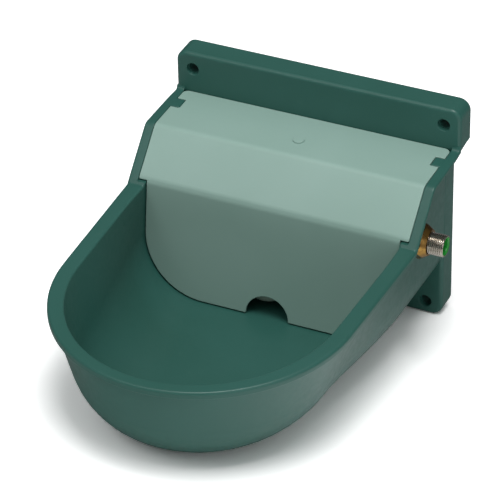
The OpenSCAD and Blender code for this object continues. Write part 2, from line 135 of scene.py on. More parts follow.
def finish(piece, body, slot, material, *nodes):
    piece.data.materials.clear()
    piece.data.materials.append(material)
    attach(piece, body)
    if nodes:
        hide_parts(*nodes)


# Camera

shot = {
    "azimuth": 24.95,
    "elevation": 34.35,
    "roll": -1.05,
    "distance": 3.057,
    "aim": (-0.0275, -0.1175, -0.1213),
    "lens": 236.2,
    "farthest": 30,
}


def addCamera():
    bpy.ops.object.camera_add()
    camera = bpy.context.object
    around, above = math.radians(shot["azimuth"]), math.radians(shot["elevation"])
    level = math.cos(above)
    back = Vector((math.sin(around) * level, -math.cos(around) * level, math.sin(above)))
    turn = back.to_track_quat("Z", "Y").to_matrix().to_4x4()
    place = Matrix.Translation(Vector(shot["aim"]) + back * shot["distance"])
    camera.matrix_world = place @ turn @ Matrix.Rotation(math.radians(shot["roll"]), 4, "Z")
    camera.data.lens = shot["lens"]
    camera.data.clip_end = shot["farthest"]
    bpy.context.scene.camera = camera


addCamera()
print("camera placed")


# Shader groups

def newGroup(name, inputs, outputs):
    group = bpy.data.node_groups.new(name, "ShaderNodeTree")
    for label, kind, value in inputs:
        socket = group.interface.new_socket(label, in_out="INPUT", socket_type=kind)
        socket.default_value = value
    for label, kind in outputs:
        group.interface.new_socket(label, in_out="OUTPUT", socket_type=kind)
    return group, group.nodes.new("NodeGroupInput"), group.nodes.new("NodeGroupOutput")


def addNode(tree, kind, **settings):
    node = tree.nodes.new(kind)
    for name, value in settings.items():
        setattr(node, name, value)
    return node


def noise(tree, place, scale, detail=2.0, distortion=0.0):
    node = addNode(tree, "ShaderNodeTexNoise")
    node.inputs["Scale"].default_value = scale
    node.inputs["Detail"].default_value = detail
    node.inputs["Distortion"].default_value = distortion
    tree.links.new(place, node.inputs["Vector"])
    return node.outputs["Fac"]


def remap(tree, value, low, high, newLow, newHigh):
    node = addNode(tree, "ShaderNodeMapRange")
    for label, number in (("From Min", low), ("From Max", high), ("To Min", newLow), ("To Max", newHigh)):
        node.inputs[label].default_value = number
    tree.links.new(value, node.inputs["Value"])
    return node.outputs["Result"]


def combine(tree, operation, first, second):
    node = addNode(tree, "ShaderNodeMath", operation=operation)
    for socket, value in zip(node.inputs, (first, second)):
        if isinstance(value, (int, float)):
            socket.default_value = value
        else:
            tree.links.new(value, socket)
    return node.outputs["Value"]


def blendColours(tree, factor, first, second):
    node = addNode(tree, "ShaderNodeMix", data_type="RGBA")
    for socket, value in ((node.inputs[0], factor), (node.inputs[6], first), (node.inputs[7], second)):
        if isinstance(value, (float, tuple)):
            socket.default_value = value
        else:
            tree.links.new(value, socket)
    return node.outputs[2]


mouldedValues = {
    "flowScale": 7,
    "grainScale": 1100,
    "mottleScale": 160,
    "scratchScale": 60,
    "patchScale": 14,
    "relief": (0.25, 0.1),  # strength, and depth in mm
}


def makeMouldedSkin():  # flow marks, fine grain and faint scuffs of a moulding
    group, given, made = newGroup("mouldedSkin", [
        ("Place", "NodeSocketVector", (0, 0, 0)),
        ("Colour", "NodeSocketColor", (0.5, 0.5, 0.5, 1)),
        ("Flow Colour", "NodeSocketColor", (0.5, 0.5, 0.5, 1)),
        ("Scuff Colour", "NodeSocketColor", (0.8, 0.8, 0.8, 1)),
        ("Roughness", "NodeSocketFloat", 0.4),
        ("Scuffs", "NodeSocketFloat", 0.1),
    ], [("Colour", "NodeSocketColor"), ("Roughness", "NodeSocketFloat"), ("Height", "NodeSocketFloat")])
    place = given.outputs["Place"]
    flow = noise(group, place, mouldedValues["flowScale"], 3, 0.6)
    grain = noise(group, place, mouldedValues["grainScale"], 2)
    mottle = noise(group, place, mouldedValues["mottleScale"], 3)
    scratches = remap(group, noise(group, place, mouldedValues["scratchScale"], 8, 3), 0.60, 0.72, 0, 1)
    patches = remap(group, noise(group, place, mouldedValues["patchScale"], 2), 0.5, 0.7, 0, 1)
    scuffs = combine(group, "MULTIPLY", scratches, patches)
    scuffs = combine(group, "MULTIPLY", scuffs, given.outputs["Scuffs"])
    tone = blendColours(group, remap(group, flow, 0.3, 0.7, 0, 1), given.outputs["Colour"],
                        given.outputs["Flow Colour"])
    worn = blendColours(group, scuffs, tone, given.outputs["Scuff Colour"])
    group.links.new(worn, made.inputs["Colour"])
    rough = combine(group, "ADD", given.outputs["Roughness"], remap(group, mottle, 0.3, 0.7, -0.04, 0.04))
    rough = combine(group, "ADD", rough, combine(group, "MULTIPLY", scuffs, 0.5))
    group.links.new(rough, made.inputs["Roughness"])
    height = combine(group, "ADD", grain, combine(group, "MULTIPLY", mottle, 1.4))
    group.links.new(height, made.inputs["Height"])
    return group


turnedValues = {
    "toolMarkScale": 500,
    "stainScale": 130,
    "hazeScale": 900,
    "relief": (0.12, 0.05),
}


def makeTurnedMetal():  # tool marks round an axis, and stains
    group, given, made = newGroup("turnedMetal", [
        ("Place", "NodeSocketVector", (0, 0, 0)),
        ("Colour", "NodeSocketColor", (0.7, 0.7, 0.7, 1)),
        ("Stain Colour", "NodeSocketColor", (0.4, 0.35, 0.3, 1)),
        ("Roughness", "NodeSocketFloat", 0.25),
        ("Stains", "NodeSocketFloat", 0.3),
    ], [("Colour", "NodeSocketColor"), ("Roughness", "NodeSocketFloat"), ("Height", "NodeSocketFloat")])
    place = given.outputs["Place"]
    wave = addNode(group, "ShaderNodeTexWave", bands_direction="X")
    wave.inputs["Scale"].default_value = turnedValues["toolMarkScale"]
    wave.inputs["Distortion"].default_value = 0.5
    group.links.new(place, wave.inputs["Vector"])
    blotch = remap(group, noise(group, place, turnedValues["stainScale"], 4, 0.5), 0.48, 0.72, 0, 1)
    stains = combine(group, "MULTIPLY", blotch, given.outputs["Stains"])
    group.links.new(blendColours(group, stains, given.outputs["Colour"], given.outputs["Stain Colour"]),
                    made.inputs["Colour"])
    rough = combine(group, "ADD", given.outputs["Roughness"], combine(group, "MULTIPLY", stains, 0.35))
    fine = remap(group, noise(group, place, turnedValues["hazeScale"], 2), 0.3, 0.7, -0.05, 0.05)
    group.links.new(combine(group, "ADD", rough, fine), made.inputs["Roughness"])
    group.links.new(wave.outputs["Fac"], made.inputs["Height"])
    return group


mouldedSkin = makeMouldedSkin()
turnedMetal = makeTurnedMetal()


# Materials

def fromScreen(red, green, blue):  # a colour as a screen shows it, made linear
    def linear(value):
        value /= 255
        return value / 12.92 if value <= 0.04045 else ((value + 0.055) / 1.055) ** 2.4
    return (linear(red), linear(green), linear(blue), 1)


def newMaterial(name, group, values, bump, sockets):
    material = bpy.data.materials.new(name)
    material.use_nodes = True
    tree = material.node_tree
    shader = tree.nodes["Principled BSDF"]
    place = addNode(tree, "ShaderNodeTexCoord")
    skin = addNode(tree, "ShaderNodeGroup", node_tree=group)
    tree.links.new(place.outputs["Object"], skin.inputs["Place"])
    for label, value in values.items():
        skin.inputs[label].default_value = value
    tree.links.new(skin.outputs["Colour"], shader.inputs["Base Color"])
    tree.links.new(skin.outputs["Roughness"], shader.inputs["Roughness"])
    relief = addNode(tree, "ShaderNodeBump")
    relief.inputs["Strength"].default_value = bump[0]
    relief.inputs["Distance"].default_value = bump[1] * mm
    tree.links.new(skin.outputs["Height"], relief.inputs["Height"])
    tree.links.new(relief.outputs["Normal"], shader.inputs["Normal"])
    for label, value in sockets.items():
        shader.inputs[label].default_value = value
    return material


def plastic(name, colour, flow, scuff, roughness, scuffs, specular=0.5):
    return newMaterial(name, mouldedSkin, {
        "Colour": fromScreen(*colour), "Flow Colour": fromScreen(*flow), "Scuff Colour": fromScreen(*scuff),
        "Roughness": roughness, "Scuffs": scuffs}, mouldedValues["relief"],
        {"Specular IOR Level": specular})


def metal(name, colour, stain, roughness, stains):
    return newMaterial(name, turnedMetal, {
        "Colour": fromScreen(*colour), "Stain Colour": fromScreen(*stain), "Roughness": roughness,
        "Stains": stains}, turnedValues["relief"], {"Metallic": 1.0})


greenPlastic = plastic("greenPlastic", (40, 85, 76), (45, 91, 83), (110, 145, 135), 0.38, 0.05, 0.4)
coverPlastic = plastic("coverPlastic", (132, 162, 152), (138, 167, 158), (180, 195, 188), 0.44, 0.05)
nickelPlate = metal("nickelPlate", (205, 198, 188), (120, 105, 90), 0.16, 0.3)
yellowBrass = metal("yellowBrass", (158, 124, 66), (84, 52, 36), 0.2, 0.7)
brightSteel = metal("brightSteel", (200, 200, 198), (150, 146, 140), 0.26, 0.3)
blackRubber = plastic("blackRubber", (26, 26, 27), (32, 32, 33), (70, 70, 70), 0.62, 0.2)
strainerPlastic = plastic("strainerPlastic", (22, 132, 42), (30, 142, 50), (120, 200, 130), 0.28, 0.05)
whitePlastic = plastic("whitePlastic", (226, 224, 215), (218, 215, 204), (190, 186, 172), 0.40, 0.3)
slotMaterials = {
    "green_plastic": greenPlastic,
    "cover_plastic": coverPlastic,
    "nickel_plate": nickelPlate,
    "brass": yellowBrass,
    "bright_steel": brightSteel,
    "black_rubber": blackRubber,
    "strainer_plastic": strainerPlastic,
    "white_plastic": whitePlastic,
}
print("materials made:", len(slotMaterials))


# CAD nodes take the finish of their slot

slotOfNode = {part["node"]: part["material_slot"] for part in frame["record"]["subparts"]}
for node, piece in frame["nodes"].items():
    piece.data.materials.clear()
    piece.data.materials.append(slotMaterials[slotOfNode[node]])
print("CAD nodes finished")


# Lines and tables in mm, read by the bowl and the cover

def roundedLine(points, radii, steps=6):  # a line of points whose corners are arcs
    line = [points[0]]
    radii = radii if isinstance(radii, tuple) else (radii,) * (len(points) - 2)
    for before, corner, after, radius in zip(points, points[1:], points[2:], radii):
        back = (Vector(before) - Vector(corner)).normalized()
        ahead = (Vector(after) - Vector(corner)).normalized()
        half = back.angle(ahead) / 2
        middle = Vector(corner) + (back + ahead).normalized() * radius / math.sin(half)
        start = Vector(corner) + back * radius / math.tan(half) - middle
        turn = math.copysign(math.pi - 2 * half, back.x * -ahead.y + back.y * ahead.x)
        for step in range(steps + 1):
            line.append(tuple(middle + Matrix.Rotation(turn * step / steps, 2) @ start))
    return line + [points[-1]]


def valueAt(line, place):  # straight-line reading of a table of (place, value)
    for (x0, y0), (x1, y1) in zip(line, line[1:]):
        if place <= x1:
            return y0 + (y1 - y0) * (place - x0) / max(x1 - x0, 1e-6)
    return line[-1][1]


def arcPoints(centre, radius, first, last, steps):
    angles = [math.radians(first + (last - first) * step / steps) for step in range(steps + 1)]
    return [(centre[0] + radius * math.cos(a), centre[1] + radius * math.sin(a)) for a in angles]


def eased(t):
    t = min(max(t, 0), 1)
    return t * t * (3 - 2 * t)


def meshPiece(name, points, faces):  # a piece from points in mm
    mesh = bpy.data.meshes.new(name)
    mesh.from_pydata([Vector(point) * mm for point in points], [], faces)
    piece = bpy.data.objects.new(name, mesh)
    bpy.context.scene.collection.objects.link(piece)
    return piece


def joinAll(name, pieces):
    makeActive(pieces[0])
    for piece in pieces:
        piece.select_set(True)
    bpy.ops.object.join()
    joined = bpy.context.object
    joined.name = name
    return joined


def cutWith(piece, cutters, operation="DIFFERENCE"):
    for cutter in cutters:
        applyModifier(piece, "BOOLEAN", operation=operation, object=cutter, solver="EXACT")
        bpy.data.objects.remove(cutter)


def cylinder(radius, depth, place, turn=(0, 0, 0), vertices=64, tip=None):
    bpy.ops.mesh.primitive_cone_add(vertices=vertices, radius1=radius * mm, radius2=(tip or radius) * mm,
                                    depth=depth * mm, location=Vector(place) * mm, rotation=turn)
    piece = bpy.context.object
    settle(piece)
    return piece


# Bowl: a swept section, the plate's front and the ribbed back of the CAD solid

bowl = {
    "face": 24.5,  # the plate's front, out from the wall
    "faceFrom": 20.3,  # the rounded front part starts here, just ahead of the ribbed back
    "plateRound": 4.0,
    "plateCorner": 11,
    "plateTop": (133, 6.5),  # centres of the plate's upper and lower corners
    "plateFoot": (118, -203.5),
    "ear": ((144, -22.8), (141.6, -27.6)),
    "plateHalf": 129,  # below the ears
    "cutBehind": -20.4,
    "slantCut": ((144.6, -22.8), (165, -22.8), (165, -51.5), (130.3, -51.5)),
    "slantDepth": (-22, 3),
    "gusset": ((126, -23), (143.9, -23), (130.3, -51.4), (126, -51.4)),
    "gussetDepth": (-24.2, 0),
    "gussetRound": 0.8,
    "screws": ((127, 0), (112, -201)),
    "screwHole": (5.0, 7.6, 20),  # radius behind, radius in front and length of the cutter
    "screwMouth": (5.8, 7.4, 1.6),
    "lug": ((132.3, -49, -26.05), (11, 15, 4), 1.5),  # place, size and rounding
    "sides": 700,  # radius of the side walls' bend in plan
    "rimFrom": 129,  # out from the wall, where the band under the edge turns into the rim
    "rimOver": 5,
    "leanFrom": 125,  # the walls begin to lean inwards here
    "leanOver": 160,
    "sectionsFrom": 22,
    "sectionsEvery": 8,
    "sectionsApart": 0.3,  # at least
    "ledgeEnd": 130.66,  # the ledge meets the top here
    "straightTo": 270,
    "arcLeanAt": 271,  # the arc goes on from the lean here, which is whole after some steps
    "arcLeanSteps": 6,
    "arcHeightsAt": 280,
    "arcOut": 267.85,  # centre of the rim's front, an ellipse
    "arcStart": 2.0,
    "arcSteps": 28,
    "arcHalves": (124.7, 135.7, 140.85, 133),  # inner edge, wall, outer edge and step where it starts
    "wallNarrowing": 0.5,
    "stretch": (124.79, 10.17, 0.2365),  # how far the ellipse reaches ahead of a circle
    "lipRound": 3.0,
    "bandRound": 2.0,
    "footRound": 1.2,
    "innerRound": 2.2,
    "ledgeRound": 0.7,
    "stepRound": 0.8,
    "underRound": (2.5, 1.5),  # below the band, and below the rim
    "corner": (46, 21, 9.3),  # outer corner at the plate, its growth to the rim and in front
    "cornerOver": 130.5,
    "innerCornerLess": 4,
    "wall": 4.8,
    "wallTop": -73,
    "innerTop": -67,
    "rearFloor": -180.8,
    "floorRise": 0.8,
    "wallDraft": (16.2, 12.8),  # where the arc starts and in front
    "innerDraft": 11.5,
    "hole": (98.5, -79, 10.78),  # for the inlet: out from the wall, height and radius
    "holeCut": (132, 30),  # middle and length of its cutter
    "padRadius": 18,
    "pads": ((131.9, 3), (127.4, 1.5)),  # middle and thickness, outside and inside
    "padRound": 0.5,
}
quarter = math.radians(90)

# Lines along the bowl: heights first, then half widths, each over the distance out from the wall
topLine = roundedLine([(20, -19.8), (24.3, -19.8), (24.6, -24.1), (90.7, -24.1), (132.88, -66.85),
                       (290, -66.85)], (0.3, 3.9, 9.0, 2.5))
bandFoot = roundedLine([(20, -28.1), (89.02, -28.1), (134.36, -74.05), (290, -74.05)], (5.0, 2.5))
ledgeLine = roundedLine([(20, -27.3), (89.36, -27.3), (126.16, -64.6), (290, -64.6)], (6.0, 1.5))
outerEdge = [(20, 143.8), (26, 144.1), (40, 144.9), (90, 145.3), (132.9, 145.3), (272.7, 140.83)]
wallPlan = roundedLine([(20, 128.74), (155, 135), (272.7, 135.6)], bowl["sides"], 8)
innerPlan = roundedLine([(20, 123.95), (155, 128.75), (272.7, 124.7)], bowl["sides"], 8)
stepPlan = [(20, 135.8), (140, 135.8), (271.4, 133)]


def wallSection(half, top, draft, floor, fillet):  # wall, corner and floor, from the top down
    slope = math.radians(draft)
    centreZ = floor + fillet
    reach = half * math.cos(slope) - top * math.sin(slope) - fillet
    centre = (reach + centreZ * math.sin(slope)) / math.cos(slope)
    corner = arcPoints((centre, centreZ), fillet, -draft, -90, 12)
    return corner + [(centre / 2, floor), (0, floor)]


def leanAt(out):  # from none at the plate to the full lean in front
    return eased((out - bowl["leanFrom"]) / bowl["leanOver"])


def bowlSection(out, halves, forward, ahead=0):  # half a section: floor, inside, rim, outside, floor
    inner, wall, edge, step = halves
    top, foot = valueAt(topLine, out), valueAt(bandFoot, out)
    ledge = min(top, valueAt(ledgeLine, out))
    rim = eased((out - bowl["rimFrom"]) / bowl["rimOver"])
    least, growth, front = bowl["corner"]
    fillet = least + growth * min((out - bowl["face"]) / bowl["cornerOver"], 1) + front * forward
    floor = bowl["rearFloor"] + bowl["floorRise"] * forward
    sideDraft, frontDraft = bowl["wallDraft"]
    draft = (sideDraft + (frontDraft - sideDraft) * ahead) * forward
    inside = wallSection(inner, bowl["innerTop"], bowl["innerDraft"] * forward, floor + bowl["wall"],
                         fillet - bowl["innerCornerLess"] * forward - bowl["wall"])
    outside = wallSection(wall, bowl["wallTop"], draft, floor, fillet)
    r = bowl["ledgeRound"] + (bowl["innerRound"] - bowl["ledgeRound"]) * rim
    lean = math.tan(math.radians(bowl["innerDraft"] * forward))
    points = inside[::-1]
    points += arcPoints((inner + lean * (ledge - bowl["innerTop"]) + r, ledge - r), r, 180, 90, 4)
    r = min(bowl["stepRound"], (top - ledge) / 2)
    points += [(step, ledge), (step, top - r)] + arcPoints((step + r, top - r), r, 180, 90, 3)[1:]
    r = bowl["bandRound"] + (bowl["lipRound"] - bowl["bandRound"]) * rim
    points += arcPoints((edge - r, top - r), r, 90, 0, 6)
    r = bowl["footRound"]
    points += arcPoints((edge - r, foot + r), r, 0, -90, 4)
    side = wall + (foot - bowl["wallTop"]) * math.tan(math.radians(draft))
    bandUnder, rimUnder = bowl["underRound"]
    r = bandUnder + (rimUnder - bandUnder) * rim
    points += arcPoints((side + r, foot - r), r, 90, 180, 3)
    return points + outside


def stretched(q):
    edge, ahead, loss = bowl["stretch"]
    return q + (ahead * q / edge if q < edge else ahead - loss * (q - edge))


def bowlStations():
    places = [out for line in (topLine, bandFoot, ledgeLine, wallPlan, innerPlan) for out, _ in line]
    places += list(range(bowl["sectionsFrom"], bowl["straightTo"], bowl["sectionsEvery"]))
    places.append(bowl["ledgeEnd"])
    straight = []
    for out in sorted(places):
        inRange = bowl["sectionsFrom"] <= out < bowl["straightTo"]
        if inRange and (not straight or out - straight[-1] > bowl["sectionsApart"]):
            straight.append(out)
    for out in straight:
        halves = [valueAt(line, out) for line in (innerPlan, wallPlan, outerEdge, stepPlan)]
        yield [(x, -out, z) for x, z in bowlSection(out, halves, leanAt(out))]
    begun = leanAt(bowl["arcLeanAt"])
    first, count = bowl["arcStart"], bowl["arcSteps"]
    inner, wall, edge, step = bowl["arcHalves"]
    for i in range(count + 1):
        around = math.radians(first + (90 - first) * i / count)
        ahead = math.sin(around) ** 2
        halves = (inner, wall - bowl["wallNarrowing"] * ahead, edge, step)
        lean = begun + (1 - begun) * eased(i / bowl["arcLeanSteps"])
        section = bowlSection(bowl["arcHeightsAt"], halves, lean, ahead)
        yield [(q * math.cos(around), -bowl["arcOut"] - stretched(q) * math.sin(around), z)
               for q, z in section]


def makeBowlShell():
    stations = list(bowlStations())
    size = len(stations[0])
    points = [point for station in stations for point in station]
    faces = []
    for i in range(len(stations) - 1):
        for j in range(size - 1):
            a, b = i * size + j, (i + 1) * size + j
            faces.append((a, a + 1, b + 1, b))
    piece = meshPiece("bowlShell", points, faces)
    applyModifier(piece, "MIRROR", use_axis=(True, False, False), use_clip=True, merge_threshold=0.01 * mm)
    inEditMode(piece)
    bpy.ops.mesh.select_all(action="SELECT")
    bpy.ops.mesh.remove_doubles(threshold=0.01 * mm)
    bpy.ops.mesh.dissolve_degenerate(threshold=0.005 * mm)
    bpy.ops.mesh.select_all(action="DESELECT")
    bpy.ops.mesh.select_non_manifold()
    bpy.ops.mesh.edge_face_add()
    bpy.ops.mesh.select_all(action="SELECT")
    bpy.ops.mesh.normals_make_consistent(inside=False)
    leaveEditMode()
    out, z, radius = bowl["hole"]
    middle, length = bowl["holeCut"]
    cutWith(piece, [cylinder(radius, length, (middle, -out, z), (0, quarter, 0))])
    return piece


def plateOutline(inset):  # the plate from in front, with a slanted ear at each side
    r = bowl["plateCorner"] - inset
    (earHalf, earZ), (earInner, earFoot) = bowl["ear"]
    half = arcPoints(bowl["plateTop"], r, 90, 0, 8)
    half += [(earHalf - inset, earZ), (earInner - inset, earFoot + inset)]
    half += [(bowl["plateHalf"] - inset, earFoot + inset)]
    half += arcPoints(bowl["plateFoot"], r, 0, -90, 8)
    return half + [(-x, z) for x, z in half[::-1]]


def makePlateFront():
    r, steps = bowl["plateRound"], 8
    loops = [(0, bowl["faceFrom"])]
    for step in range(steps + 1):
        turn = math.radians(90 * step / steps)
        loops.append((r * (1 - math.cos(turn)), bowl["face"] - r * (1 - math.sin(turn))))
    points = [(x, -out, z) for inset, out in loops for x, z in plateOutline(inset)]
    size = len(plateOutline(0))
    faces = [tuple(range(size)), tuple(range(len(points) - 1, len(points) - size - 1, -1))]
    for i in range(len(loops) - 1):
        for j in range(size):
            a, b = i * size + j, i * size + (j + 1) % size
            faces.append((a, a + size, b + size, b))
    piece = meshPiece("plateFront", points, faces)
    closeNormals(piece)
    cutters = []
    for side in (-1, 1):
        for x, z in bowl["screws"]:
            for behind, ahead, length in (bowl["screwHole"], bowl["screwMouth"]):
                place = (side * x, -bowl["face"], z)
                cutters.append(cylinder(behind, length, place, (quarter, 0, 0), tip=ahead))
    cutWith(piece, cutters)
    return piece


def prism(side, outline, first, last):  # an outline of (x, z), drawn along Y
    points = [(side * x, y, z) for y in (first, last) for x, z in outline]
    size = len(outline)
    faces = [tuple(range(size)), tuple(range(2 * size - 1, size - 1, -1))]
    faces += [(i, i + size, (i + 1) % size + size, (i + 1) % size) for i in range(size)]
    piece = meshPiece("prism", points, faces)
    closeNormals(piece)
    return piece


def makePlateBack():
    piece = copyOfNode("bowl_body", "plateBack")
    cutFlat(piece, (0, bowl["cutBehind"], 0), (0, 1, 0), clear_inner=True)
    cutWith(piece, [prism(side, bowl["slantCut"], *bowl["slantDepth"]) for side in (-1, 1)])
    return piece


def makeGusset(side):  # under the ear, between the plate and the cheek
    piece = prism(side, bowl["gusset"], *bowl["gussetDepth"])
    applyModifier(piece, "BEVEL", width=bowl["gussetRound"] * mm, segments=2, limit_method="ANGLE")
    return piece


def makeLug(side):
    (x, y, z), size, rounding = bowl["lug"]
    bpy.ops.mesh.primitive_cube_add(size=1, location=(side * x * mm, y * mm, z * mm))
    piece = bpy.context.object
    piece.scale = Vector(size) * mm
    settle(piece)
    applyModifier(piece, "BEVEL", width=rounding * mm, segments=4)
    return piece


def makePad(x, thick):  # round the inlet's hole
    out, z, radius = bowl["hole"]
    _, length = bowl["holeCut"]
    piece = cylinder(bowl["padRadius"], thick, (x, -out, z), (0, quarter, 0))
    cutWith(piece, [cylinder(radius, length, (x, -out, z), (0, quarter, 0))])
    applyModifier(piece, "BEVEL", width=bowl["padRound"] * mm, segments=3, limit_method="ANGLE")
    return piece


def makeBowl():
    parts = [makeBowlShell(), makePlateFront(), makePlateBack()]
    parts += [makeLug(-1), makeLug(1), makeGusset(-1), makeGusset(1)]
    parts += [makePad(x, thick) for x, thick in bowl["pads"]]
    piece = joinAll("bowlMoulding", parts)
    averageNormals(piece, 30)
    finish(piece, "bowl", "green_plastic", greenPlastic, "bowl_body")


makeBowl()
print("bowl made")


# Cover: one bent sheet, cut from its flat pattern

cover = {
    "bends": ((25.0, -24.1), (90.7, -24.1), (128.5, -62.4), (143.34, -177.45)),  # out, and height
    "bendRadii": (9.0, 14.0),
    "half": 135.4,
    "rearRound": 6,
    "notch": (41.1, 56.9, 126.4),  # first and last place out from the wall, and its depth
    "notchRound": 1.8,
    "wideFoot": -62.9,
    "wideFootRound": 1.5,
    "baffleHalf": 127.0,
    "baffleFoot": -174.5,
    "baffleFillet": 60.7,
    "passage": 21.6,
    "thickness": 3,
    "edge": 0.6,
    "edgeSharp": 50,
    "footClear": 0.7,
    "pip": (65.6, 5.5, 1.6),  # place out from the wall, radius and height
    "pipLength": 2,  # its foot is sunk in the sheet
    "pipRound": 0.75,
}
coverPath = roundedLine(cover["bends"], cover["bendRadii"], 8)


def pathLengths(path):
    lengths = [0]
    for before, after in zip(path, path[1:]):
        lengths.append(lengths[-1] + math.dist(before, after))
    return lengths


coverLengths = pathLengths(coverPath)


def lengthAtOut(out):
    return valueAt([(point[0], along) for point, along in zip(coverPath, coverLengths)], out)


def lengthAtZ(z):  # without the rear edge, which is as high as the first bend
    return valueAt([(-point[1], along) for point, along in zip(coverPath, coverLengths) if along > 0], -z)


def roundedCorner(points, radius, steps=4):  # the middle point of three, made round
    return roundedLine(points, radius, steps)[1:-1]


def coverPattern():  # right half of the flat pattern, from the rear edge to the passage
    first, last, deep = cover["notch"]
    half, r = cover["half"], cover["notchRound"]
    y0, y1 = lengthAtOut(first), lengthAtOut(last)
    foot = lengthAtZ(cover["wideFoot"])
    pattern = roundedCorner([(0, 0), (half, 0), (half, y0)], cover["rearRound"], 6)
    pattern += [(half, y0)] + roundedCorner([(half, y0), (deep, y0), (deep, y1)], r)
    pattern += roundedCorner([(deep, y0), (deep, y1), (half, y1)], r) + [(half, y1)]
    corner = [(half, y1), (half, foot), (cover["baffleHalf"], foot)]
    pattern += roundedCorner(corner, cover["wideFootRound"]) + [corner[-1]]
    r = cover["baffleFillet"]
    for x, z in arcPoints((cover["baffleHalf"] - r, cover["baffleFoot"] + r), r, 0, -90, 16):
        pattern.append((x, lengthAtZ(z)))
    for x, z in arcPoints((0, cover["baffleFoot"]), cover["passage"], 0, 90, 14):
        pattern.append((x, lengthAtZ(z)))
    return pattern


def bentPoint(x, along):  # from the flat pattern to the bent sheet
    out = valueAt(list(zip(coverLengths, [point[0] for point in coverPath])), along)
    z = valueAt(list(zip(coverLengths, [point[1] for point in coverPath])), along)
    return Vector((x, -out, z))


def makeCoverSheet():
    pattern = coverPattern()
    outline = [(x, y, 0) for x, y in pattern] + [(-x, y, 0) for x, y in pattern[::-1] if x > 0.001]
    piece = meshPiece("coverSheet", outline, [tuple(range(len(outline)))])
    inEditMode(piece)
    foot = lengthAtZ(cover["wideFoot"])
    for along in coverLengths[1:-1]:
        if abs(along - foot) > cover["footClear"]:  # closer ones leave overlapping faces there
            bpy.ops.mesh.select_all(action="SELECT")
            bpy.ops.mesh.bisect(plane_co=(0, along * mm, 0), plane_no=(0, 1, 0))
    leaveEditMode()
    for vertex in piece.data.vertices:
        vertex.co = bentPoint(vertex.co.x / mm, vertex.co.y / mm) * mm
    inEditMode(piece)
    bpy.ops.mesh.select_all(action="SELECT")
    bpy.ops.mesh.remove_doubles(threshold=0.01 * mm)
    leaveEditMode()
    up = sum(face.normal.z * face.area for face in piece.data.polygons)
    if up < 0:
        inEditMode(piece)
        bpy.ops.mesh.select_all(action="SELECT")
        bpy.ops.mesh.flip_normals()
        leaveEditMode()
    applyModifier(piece, "SOLIDIFY", thickness=cover["thickness"] * mm, offset=-1, use_even_offset=True)
    applyModifier(piece, "BEVEL", width=cover["edge"] * mm, segments=3, limit_method="ANGLE",
                  angle_limit=math.radians(cover["edgeSharp"]), use_clamp_overlap=False)
    return piece


def makePip():
    out, radius, height = cover["pip"]
    top, length = cover["bends"][0][1], cover["pipLength"]
    piece = cylinder(radius, length, (0, -out, top + height - length / 2), vertices=48)
    roundEdges(piece, cover["pipRound"] * mm, 60, lambda middle: middle.z > top * mm, 4)
    return piece


def makeCover():
    piece = joinAll("coverMoulding", [makeCoverSheet(), makePip()])
    averageNormals(piece, 30)
    finish(piece, "cover", "cover_plastic", coverPlastic, "cover")


makeCover()
print("cover made")


# Inlet: nut, threaded tail and strainer on one axis across the object

inlet = {
    "out": 98.5,
    "z": -79,
    "nutFrom": 134.58,
    "nutTo": 145.2,
    "nutHalf": 17.5,  # to its corners
    "nutFace": 12.2,
    "nutSlope": 0.64,
    "nutTurn": 10,
    "nutRound": 0.45,
    "nutSharp": 24,
    "nutCutter": 30,
    "bore": 8.6,
    "cutAt": 142.3,
    "overlap": 0.3,
    "end": 160.4,
    "pitch": 1.814,
    "ringsPerPitch": 11,
    "root": 9.32,
    "crest": 10.47,
    "chamfer": (0.8, 1.1),  # slope and length at the thread's end
    "nutGap": 0.05,
    "seat": 8.95,
    "seatDepth": 1.2,
    "sleeve": (  # the strainer's section: place from the inlet's end, and radius
        (-17, 5.6), (-17, 8.5), (-1.15, 8.5), (-1.15, 8.85), (-0.5, 8.85), (-0.3, 8.8), (-0.2, 8.65),
        (-0.3, 8.5), (-0.7, 8.1), (-1.4, 7.6), (-2.4, 7.4), (-10, 7.3), (-10.8, 7.1), (-11.2, 5.6)),
}


def onInlet(x):
    return Vector((x, -inlet["out"], inlet["z"]))


def turnedPiece(name, profile, steps=96):  # a closed profile of (x, radius) or (x, radius by angle)
    points, faces = [], []
    for i in range(steps):
        angle = 2 * math.pi * i / steps
        for x, radius in profile:
            r = radius(x, angle) if callable(radius) else radius
            points.append(onInlet(x) + Vector((0, r * math.cos(angle), r * math.sin(angle))))
    size = len(profile)
    for i in range(steps):
        for j in range(size):
            a, b = i * size + j, ((i + 1) % steps) * size + j
            c, d = i * size + (j + 1) % size, ((i + 1) % steps) * size + (j + 1) % size
            faces.append((a, b, d, c))
    piece = meshPiece(name, points, faces)
    closeNormals(piece)
    return piece


def threadRadius(x, angle):
    wave = 0.5 + 0.5 * math.cos(2 * math.pi * x / inlet["pitch"] - angle)
    radius = inlet["root"] + (inlet["crest"] - inlet["root"]) * wave
    slope, length = inlet["chamfer"]
    return min(radius, inlet["crest"] - slope * max(x - inlet["end"] + length, 0))


def makeInletTail():
    first, last = inlet["cutAt"] - inlet["overlap"], inlet["end"]
    count = round((last - first) / inlet["pitch"] * inlet["ringsPerPitch"])
    profile = [(first + (last - first) * i / count, threadRadius) for i in range(count + 1)]
    seat = last - inlet["seatDepth"]
    profile += [(last, inlet["seat"]), (seat, inlet["seat"]), (seat, inlet["bore"]), (first, inlet["bore"])]
    return turnedPiece("inletTail", profile)


